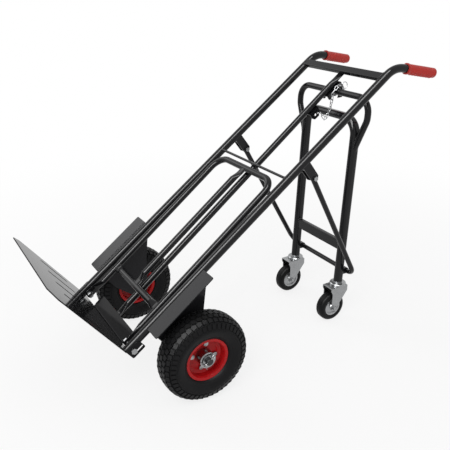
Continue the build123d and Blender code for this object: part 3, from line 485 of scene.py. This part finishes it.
class TyreSizes(bpy.types.PropertyGroup):
    blocks: IntProperty(name="Blocks", description="Tread blocks round one row", default=46, min=12)
    depth: FloatProperty(name="Tread depth", description="Height of the blocks", subtype="DISTANCE",
                         unit="LENGTH", default=0.0034)
    lugs: IntProperty(name="Shoulder lugs", description="Small lugs round one shoulder", default=92, min=12)


class GripSizes(bpy.types.PropertyGroup):
    length: FloatProperty(name="Length", description="Length of a grip", unit="LENGTH", subtype="DISTANCE",
                          default=0.115)
    radius: FloatProperty(name="Radius", description="Radius of a grip's body", unit="LENGTH",
                          subtype="DISTANCE", default=0.015)
    ridge: FloatProperty(name="Finger ridges", description="Height of the ridges underneath", unit="LENGTH",
                         subtype="DISTANCE", default=0.0020)
    ridges: IntProperty(name="Ridge count", description="Ridges along the underside", default=8, min=2)


class ChainSizes(bpy.types.PropertyGroup):
    links: IntProperty(name="Links", description="Links from the ring to the anchor", default=14, min=3)
    wire: FloatProperty(name="Wire", description="Diameter of a link's wire", unit="LENGTH",
                        subtype="DISTANCE", default=0.0023)
    length: FloatProperty(name="Link length", description="Length over one link", unit="LENGTH",
                          subtype="DISTANCE", default=0.0165)
    width: FloatProperty(name="Link width", description="Width over one link", unit="LENGTH",
                         subtype="DISTANCE", default=0.010)


class LoopSizes(bpy.types.PropertyGroup):
    leg_half: FloatProperty(name="Leg to middle", description="From a leg's axis to the middle",
                            unit="LENGTH", subtype="DISTANCE", default=0.1175)
    foot: FloatProperty(name="Foot", description="Height of the loop's feet up the legs", unit="LENGTH",
                        subtype="DISTANCE", default=0.4502)
    knee: FloatProperty(name="Knee", description="Height where the loop is at its widest", unit="LENGTH",
                        subtype="DISTANCE", default=0.552)
    top: FloatProperty(name="Top", description="Height of the loop's crossbar", unit="LENGTH",
                       subtype="DISTANCE", default=0.61603)
    reach: FloatProperty(name="Reach", description="How far the loop stands outside the legs", unit="LENGTH",
                         subtype="DISTANCE", default=0.044)
    bend: FloatProperty(name="Bend", description="Radius of the loop's bends", unit="LENGTH",
                        subtype="DISTANCE", default=0.045)
    radius: FloatProperty(name="Tube", description="Radius of the loop's tube", unit="LENGTH",
                          subtype="DISTANCE", default=0.010)


class WeldSizes(bpy.types.PropertyGroup):
    size: FloatProperty(name="Bead", description="Radius of one drop of weld", unit="LENGTH",
                        subtype="DISTANCE", default=0.0021)
    pitch: FloatProperty(name="Pitch", description="Step from one drop to the next", unit="LENGTH",
                         subtype="DISTANCE", default=0.0024)


class CastorSizes(bpy.types.PropertyGroup):
    groove: FloatProperty(name="Groove", description="Depth of the castor tyre's grooves", unit="LENGTH",
                          subtype="DISTANCE", default=0.0009)


class StageSettings(bpy.types.PropertyGroup):
    lens: FloatProperty(name="Lens", description="Focal length in millimetres", subtype="DISTANCE_CAMERA",
                        default=46.95)
    key: FloatProperty(name="Key lamp", description="Power of the large soft lamp", subtype="POWER",
                       unit="POWER", default=36.0)
    fill: FloatProperty(name="Fill lamp", description="Power of the second soft lamp", subtype="POWER",
                        unit="POWER", default=20.0)
    strip: FloatProperty(name="Strip lamp", description="Power of the narrow lamp", subtype="POWER",
                         unit="POWER", default=9.0)
    card: FloatProperty(name="Gloss card", description="Power of the card that only gloss reflects",
                        subtype="POWER", unit="POWER", default=150.0)
    sky: FloatProperty(name="Sky", description="Strength of the even light all round", default=0.55)


def finishes(context):
    """The part's materials by name, made once."""
    if "frame satin" not in bpy.data.materials:
        colours = context.scene.truck_colours
        paint("frame satin", colours.frame, 0.115, 0.20, 0.003)
        paint("guard satin", colours.guard, 0.12, 0.13, 0.003)
        paint("toe gloss", colours.toe, 0.10, 0.05, 0.003)
        paint("rim gloss", colours.rim, 0.22, 0.16, 0.03)
        grip_vinyl("grip vinyl", colours.grip)
        rubber("tyre rubber", colours.tyre, 0.44, 800)
        rubber("castor rubber", tint(colours.tyre, 0.9), 0.42, 1500)
        rubber("tube butyl", tint(colours.tyre, 1.3), 0.6, 500)
        plating("zinc plate", colours.zinc, 0.22, (60, 60, 700))
        plating("bearing steel", tint(colours.zinc, 0.9), 0.24, (700, 60, 60))
        plating("castor disc", tint(colours.zinc, 1.08), 0.38, (60, 700, 60))
        plating("axle steel", tint(colours.zinc, 0.16), 0.42, (700, 60, 60))
    return bpy.data.materials


FINISHED_NODES = {
    "frame satin": ("left_rail", "right_rail", "top_crossbar", "centre_rail", "stop_rod", "extension_bow",
                    "extension_cross_tube", "extension_centre_bar", "left_stay_bracket", "right_stay_bracket",
                    "stay_bail", "leg_bow", "mid_bar", "hinge_saddles", "upper_latch_bracket",
                    "lower_latch_bracket"),
    "guard satin": ("left_wheel_guard", "right_wheel_guard"),
    "toe gloss": ("toe_plate",),
    "rim gloss": ("left_outer_rim", "left_inner_rim", "right_outer_rim", "right_inner_rim"),
    "tube butyl": ("left_inner_tube", "right_inner_tube"),
    "zinc plate": ("pivot_bolts", "axle_washers", "split_pins", "stay_bolts", "chain_anchor", "locking_pin",
                   "pin_ring", "left_rim_bolts", "right_rim_bolts", "left_castor_head", "right_castor_head",
                   "left_castor_fork", "right_castor_fork", "left_castor_axle", "right_castor_axle",
                   "left_hub", "right_hub"),
    "bearing steel": ("left_bearings", "right_bearings"),
    "axle steel": ("axle",),
    "castor rubber": ("left_castor_tyre", "right_castor_tyre"),
    "castor disc": ("left_castor_hub", "right_castor_hub"),
}


class TRUCK_OT_finishes(bpy.types.Operator):
    """Gives every CAD node its procedural finish"""
    bl_idname = "truck.finishes"
    bl_label = "Finishes"

    def execute(self, context):
        made = finishes(context)
        for name, nodes in FINISHED_NODES.items():
            for node in nodes:
                slots = frame["nodes"][node].data.materials
                slots.clear()
                slots.append(made[name])
        return {"FINISHED"}


# Rows of tread blocks: place across, phase in pitches, width, length in pitches, tilt, skew,
# and drop from the crown
MIDDLE_ROW = (0.0, 0.0, 0.0142, 0.80, 0.0, 0.30, 0.0)
SIDE_ROWS = ((0.0155, 0.5, 0.0134, 0.80, radians(10), -0.30, 0.0011),
             (0.0287, 0.0, 0.0122, 0.78, radians(32), 0.20, 0.0064),
             (0.0383, 0.5, 0.0150, 0.62, radians(66), 0.0, 0.0190))
# How far a block's middle stands over the carcass, and its height with its root, in tread depths
BLOCK_LIFT = 0.0003
BLOCK_ROOT = 1.6


class TRUCK_OT_tyres(bpy.types.Operator):
    """Builds the pneumatic tyres with their block tread and shoulder lugs"""
    bl_idname = "truck.tyres"
    bl_label = "Tyres"

    def execute(self, context):
        sizes = context.scene.truck_tyre
        finish = finishes(context)["tyre rubber"]
        row = tread_tree()
        for name in SIDES:
            centre = middle(f"{name}_tyre")
            low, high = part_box(f"{name}_tyre")
            crown = (high.z - low.z) / 2
            half = (high.x - low.x) / 2
            floor = crown - sizes.depth
            section = [(0.0, floor), (0.010, floor - 0.0003), (0.0175, floor - 0.0016),
                       (0.0255, floor - 0.0045), (0.0315, floor - 0.0085), (0.0362, 0.1125),
                       (0.0392, 0.1065), (0.0411, 0.1020), (half - 0.0004, 0.0982),
                       (half, 0.0945), (half - 0.0003, 0.0902), (half - 0.0012, 0.0860),
                       (half - 0.0030, 0.0790), (half - 0.0048, 0.0745), (half - 0.0056, 0.0738),
                       (half - 0.0058, 0.0724), (half - 0.0056, 0.0715), (half - 0.0082, 0.0680),
                       (half - 0.0110, 0.0660), (half - 0.0150, 0.0642), (0.0266, 0.0636),
                       (0.0266, 0.0562)]
            inside = [(0.0205, 0.0562), (0.0205, 0.0665), (0.0300, 0.0790), (half - 0.007, 0.0930),
                      (0.0330, 0.1060), (0.0250, 0.1140), (0.0, 0.1205)]
            outline = section + inside
            mirrored = [(-a, r) for a, r in outline[1:-1]]
            bm = bmesh.new()
            lathe(bm, outline + mirrored[::-1], centre, 112)
            carcass = from_bmesh(f"{name}_carcass", bm, finish, radians(35))
            pitch = 2 * pi / sizes.blocks
            rows = [MIDDLE_ROW]
            for hand in (1, -1):
                rows += [(hand * offset, phase, width, share, hand * tilt, hand * skew, drop)
                         for offset, phase, width, share, tilt, skew, drop in SIDE_ROWS]
            parts = [carcass]
            for offset, phase, width, share, tilt, skew, drop in rows:
                parts.append(row.run(
                    "row", Count=sizes.blocks, Centre=centre, Radius=floor + BLOCK_LIFT - drop, Offset=offset,
                    Phase=phase * pitch, Width=width, Length=share * pitch * crown,
                    Height=sizes.depth * BLOCK_ROOT, Taper=0.90, Tilt=tilt, Skew=skew, Finish=finish))
            for hand in (1, -1):
                parts.append(row.run(
                    "lugs", Count=sizes.lugs, Centre=centre, Radius=0.0965, Offset=hand * (half - 0.0008),
                    Phase=0.5 * pitch, Width=0.0062, Length=0.0046, Height=0.0022, Taper=0.7,
                    Tilt=hand * radians(82), Skew=0.0, Finish=finish))
            tyre = join(f"{name}_tread_tyre", parts, finish)
            dress(tyre, f"{name}_wheel", "tyre", f"{name}_tyre")
        return {"FINISHED"}


class TRUCK_OT_grips(bpy.types.Operator):
    """Builds the moulded grips with finger ridges underneath"""
    bl_idname = "truck.grips"
    bl_label = "Grips"

    rings, around = 150, 48
    collar_length, collar_height, collar_slope = 0.008, 0.0017, 0.003
    ridge_start, ridge_end = 0.014, 0.012
    end_round = 0.006
    bore_radius, bore_depth = 0.01255, 0.02

    def execute(self, context):
        sizes = context.scene.truck_grip
        finish = finishes(context)["grip vinyl"]
        around = self.around
        for name, side in SIDES.items():
            start = Vector((side * 0.18325, 0.49531, 0.83684))
            handle = Vector((side * 0.087156, 0.980296, -0.177266))
            under = Vector((-side * 0.093999, -0.169057, -0.981114))
            aside = handle.cross(under)
            bm = bmesh.new()
            loops = []
            for number in range(self.rings + 1):
                along = sizes.length * number / self.rings
                loops.append(self.ring(bm, sizes, start, handle, under, aside, along))
            for first, second in zip(loops, loops[1:]):
                for step in range(around):
                    bm.faces.new((first[step], first[(step + 1) % around], second[(step + 1) % around],
                                  second[step]))
            bm.faces.new(loops[-1])
            bore = [bm.verts.new(start + (under * cos(t) + aside * sin(t)) * self.bore_radius)
                    for t in (2 * pi * step / around for step in range(around))]
            for step in range(around):
                bm.faces.new((bore[step], bore[(step + 1) % around], loops[0][(step + 1) % around],
                              loops[0][step]))
            deep = [bm.verts.new(vert.co + handle * self.bore_depth) for vert in bore]
            for step in range(around):
                bm.faces.new((deep[step], deep[(step + 1) % around], bore[(step + 1) % around], bore[step]))
            bm.faces.new(deep)
            grip = from_bmesh(f"{name}_moulded_grip", bm, finish, radians(50))
            dress(grip, "frame", "grip", f"{name}_grip")
        return {"FINISHED"}

    def ring(self, bm, sizes, start, handle, under, aside, along):
        """One ring of the grip: collar, body, ridges below, round end."""
        verts = []
        tail = sizes.length - along
        for step in range(self.around):
            turn = 2 * pi * step / self.around
            radius = sizes.radius
            if along < self.collar_length:
                radius += self.collar_height * min(1.0, (self.collar_length - along) / self.collar_slope)
            low = max(0.0, (cos(turn) - 0.15) / 0.85) ** 0.6
            if self.ridge_start < along < sizes.length - self.ridge_end:
                share = (along - self.ridge_start) / (sizes.length - self.ridge_start - self.ridge_end)
                radius += sizes.ridge * low * (0.5 - 0.5 * cos(2 * pi * sizes.ridges * share)) ** 0.7
            if tail < self.end_round:
                radius -= self.end_round - (self.end_round**2 - (self.end_round - tail) ** 2) ** 0.5
            arm = under * cos(turn) + aside * sin(turn)
            verts.append(bm.verts.new(start + handle * along + arm * radius))
        return verts


class TRUCK_OT_chain(bpy.types.Operator):
    """Lays the pin's chain from the pull ring, over the loop, to its anchor"""
    bl_idname = "truck.chain"
    bl_label = "Pin chain"

    def execute(self, context):
        sizes = context.scene.truck_chain
        finish = finishes(context)["zinc plate"]
        route = ((0.0265, 0.38906, 0.77767), (0.0280, 0.37441, 0.77273), (0.0270, 0.35933, 0.75393),
                 (0.0250, 0.35814, 0.73250), (0.0220, 0.35505, 0.70702), (0.0200, 0.34807, 0.68444),
                 (0.0190, 0.33958, 0.67461), (0.01429, 0.32795, 0.68989))
        carrier = path_object("chain_route", [route])
        chain = chain_tree().run("pin_chain_links", carrier, Count=sizes.links, Long=sizes.length,
                                 Wide=sizes.width, Wire=sizes.wire, Finish=finish)
        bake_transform(chain)
        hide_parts("pin_chain")
        return {"FINISHED"}


class TRUCK_OT_loop(bpy.types.Operator):
    """Bends the latch loop over the legs, its feet on their outer sides"""
    bl_idname = "truck.loop"
    bl_label = "Latch loop"

    foot_past_axis = 0.0015

    def execute(self, context):
        sizes = context.scene.truck_loop
        foot_in_leg = sizes.leg_half + self.foot_past_axis
        outside = sizes.leg_half + sizes.reach
        side_run = ((foot_in_leg, sizes.foot), (outside, sizes.knee), (outside, sizes.top))
        route = [LEG_SOLE + ACROSS * x + LEG_UP * up for x, up in side_run]
        route += [LEG_SOLE - ACROSS * x + LEG_UP * up for x, up in side_run[::-1]]
        loop = tube_tree().run("bent_latch_loop", path_object("loop_route", [route]), Bend=sizes.bend,
                               Radius=sizes.radius, Finish=finishes(context)["frame satin"])
        dress(loop, "leg_frame", "frame_paint", "latch_loop")
        return {"FINISHED"}


class TRUCK_OT_welds(bpy.types.Operator):
    """Lays weld beads where tubes and bars meet"""
    bl_idname = "truck.welds"
    bl_label = "Welds"

    joints = {"frame": (("stop_rod", ("left_rail", "right_rail")),
                        ("top_crossbar", ("left_rail", "right_rail"))),
              "toe_extension": (("extension_cross_tube", ("extension_bow",)),),
              "leg_frame": (("bent_latch_loop", ("leg_bow",)), ("mid_bar", ("leg_bow",)))}

    def execute(self, context):
        sizes = context.scene.truck_weld
        finish = finishes(context)["frame satin"]
        bead = bead_tree()
        for body, pairs in self.joints.items():
            rings = [ring for branch, trunk in pairs
                     for ring in seams(bpy.data.objects[branch].data, trunk)]
            carrier = path_object("seams", rings, True)
            welds = bead.run(f"{body}_welds", carrier, Pitch=sizes.pitch, Size=sizes.size, Finish=finish)
            dress(welds, body, "frame_paint")
        return {"FINISHED"}


class TRUCK_OT_castors(bpy.types.Operator):
    """Turns the castors' tyres with their two grooves"""
    bl_idname = "truck.castors"
    bl_label = "Castor tyres"

    def execute(self, context):
        groove = context.scene.truck_castor.groove
        finish = finishes(context)["castor rubber"]
        for name in SIDES:
            low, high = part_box(f"{name}_castor_tyre")
            crown = (high.z - low.z) / 2
            half = (high.x - low.x) / 2
            outline = [(0.0, crown), (0.0052, crown - 0.0001), (0.0058, crown - groove),
                       (0.0068, crown - groove), (0.0074, crown - 0.0003), (0.0110, crown - 0.0010),
                       (0.0140, crown - 0.0030), (0.0160, crown - 0.0062), (half - 0.0002, crown - 0.0102),
                       (half, crown - 0.0130), (half - 0.0006, crown - 0.0155),
                       (half - 0.0012, crown - 0.0160), (half - 0.0012, crown - 0.0172),
                       (half - 0.0022, crown - 0.0185), (0.0138, crown - 0.0190)]
            bore = [(a, 0.0307) for a in (0.0136, 0.0)]
            mirrored = [(-a, r) for a, r in (outline + bore[:1])[1:]]
            bm = bmesh.new()
            lathe(bm, outline + bore + mirrored[::-1], middle(f"{name}_castor_tyre"), 72)
            tyre = from_bmesh(f"{name}_castor_ring", bm, finish, radians(38))
            dress(tyre, f"{name}_castor_wheel", "castor_tyre", f"{name}_castor_tyre")
        return {"FINISHED"}


class TRUCK_OT_stage(bpy.types.Operator):
    """Sets the floor, the even white surround, the soft lamps and the camera"""
    bl_idname = "truck.stage"
    bl_label = "Stage"

    def execute(self, context):
        settings = context.scene.truck_stage
        scene = context.scene
        scene.view_settings.view_transform = "Standard"
        self.surround(scene, settings)
        self.floor()
        up = Vector((0, 0, 1))
        self.lamp("key", (1.6, -2.2, 2.9), (0.0, 0.0, 0.35), up, (1.6, 1.6), settings.key)
        self.lamp("fill", (-2.6, -1.2, 2.2), (0.0, 0.0, 0.4), up, (1.8, 1.8), settings.fill)
        self.lamp("left strip", (1.73, -0.82, 2.38), RAIL_MIDDLE, RAIL_UP, (0.22, 3.2), settings.strip)
        card = self.lamp("gloss card", (0.69, -0.88, 2.36), RAIL_MIDDLE, RAIL_UP, (0.9, 3.4), settings.card)
        card.visible_diffuse = False
        self.camera(scene, settings)
        return {"FINISHED"}

    def camera(self, scene, settings):
        """The photograph's viewpoint."""
        view = bpy.data.objects.new("view", bpy.data.cameras.new("view"))
        view.data.sensor_width = 36
        view.data.lens = settings.lens
        place = (1.4262, -0.87406, 1.0919)
        azimuth, elevation = radians(58.967), radians(23.113)
        forward = Vector((-sin(azimuth) * cos(elevation), cos(azimuth) * cos(elevation), -sin(elevation)))
        right = forward.cross(Vector((0, 0, 1))).normalized()
        up = right.cross(forward)
        turn = Matrix((right, up, -forward)).transposed().to_4x4()
        view.matrix_world = Matrix.Translation(place) @ turn
        scene.collection.objects.link(view)
        scene.camera = view

    def seen(self, nodes):
        """1 for what sees a surface directly, by gloss or through glass."""
        path = nodes.node("ShaderNodeLightPath")
        return path.out("Is Camera Ray") + path.out("Is Glossy Ray") + path.out("Is Transmission Ray")

    def surround(self, scene, settings):
        """Plain white for what sees it directly, softer light on the object."""
        world = bpy.data.worlds.new("surround")
        scene.world = world
        world.use_nodes = True
        nodes = Nodes(world.node_tree)
        world.node_tree.nodes.clear()
        level = nodes.node("ShaderNodeMath", {"operation": "MINIMUM"}, {0: self.seen(nodes), 1: 1.0})
        strength = level * (1.0 - settings.sky) + settings.sky
        glow = nodes.node("ShaderNodeBackground", None, {"Color": (1, 1, 1, 1), "Strength": strength})
        leave = world.node_tree.nodes.new("ShaderNodeOutputWorld")
        world.node_tree.links.new(glow.socket, leave.inputs["Surface"])

    def floor(self):
        """Pale floor that fades into the white surround."""
        finish = Finish("floor", Roughness=0.9, Specular_IOR_Level=0.1)
        finish.shader.inputs["Base Color"].default_value = (0.93, 0.93, 0.93, 1)
        glow = finish.node("ShaderNodeEmission", None, {"Color": (1, 1, 1, 1), "Strength": 1.0})
        away = finish.node("ShaderNodeVectorMath", {"operation": "LENGTH"}, {0: finish.place}).out("Value")
        share = away.step(0.5, 2.4) * 0.2 + 0.8
        blend = finish.node("ShaderNodeMixShader", None, {0: share * self.seen(finish), 2: glow})
        finish.tree.links.new(finish.shader.outputs[0], blend.socket.node.inputs[1])
        finish.tree.links.new(blend.socket, finish.tree.nodes["Material Output"].inputs["Surface"])
        bm = bmesh.new()
        bmesh.ops.create_circle(bm, cap_ends=True, radius=60, segments=64)
        floor = from_bmesh("floor", bm, finish.material)

    def lamp(self, name, place, aim, along, size, power):
        """Soft lamp of a width and a length, the length turned along a direction."""
        lamp = bpy.data.lights.new(name, "AREA")
        lamp.shape = "RECTANGLE"
        lamp.size, lamp.size_y = size
        lamp.energy = power
        back = (Vector(place) - Vector(aim)).normalized()
        length = (along - back * along.dot(back)).normalized()
        made = bpy.data.objects.new(name, lamp)
        turn = Matrix((length.cross(back), length, back)).transposed().to_4x4()
        made.matrix_world = Matrix.Translation(place) @ turn
        made.visible_camera = False
        bpy.context.scene.collection.objects.link(made)
        return made


STEPS = (TRUCK_OT_finishes, TRUCK_OT_tyres, TRUCK_OT_grips, TRUCK_OT_chain, TRUCK_OT_loop, TRUCK_OT_welds,
         TRUCK_OT_castors, TRUCK_OT_stage)


class TRUCK_PT_dressing(bpy.types.Panel):
    """Lists the steps that dress the hand truck"""
    bl_label = "Hand truck"
    bl_idname = "TRUCK_PT_dressing"
    bl_space_type = "VIEW_3D"
    bl_region_type = "UI"
    bl_category = "Hand truck"

    def draw(self, context):
        for step in STEPS:
            self.layout.operator(step.bl_idname)


SETTINGS = {"truck_colours": TruckColours, "truck_tyre": TyreSizes, "truck_grip": GripSizes,
            "truck_chain": ChainSizes, "truck_loop": LoopSizes, "truck_weld": WeldSizes,
            "truck_castor": CastorSizes, "truck_stage": StageSettings}
CLASSES = (*SETTINGS.values(), *STEPS, TRUCK_PT_dressing)


def register():
    for made in CLASSES:
        bpy.utils.register_class(made)
    for name, group in SETTINGS.items():
        setattr(bpy.types.Scene, name, PointerProperty(type=group))


def unregister():
    for name in SETTINGS:
        delattr(bpy.types.Scene, name)
    for made in reversed(CLASSES):
        bpy.utils.unregister_class(made)


def main():
    register()
    bpy.ops.truck.finishes()
    bpy.ops.truck.tyres()
    bpy.ops.truck.grips()
    bpy.ops.truck.chain()
    bpy.ops.truck.loop()
    bpy.ops.truck.welds()
    bpy.ops.truck.castors()
    bpy.ops.truck.stage()


if __name__ == "__main__":
    main()
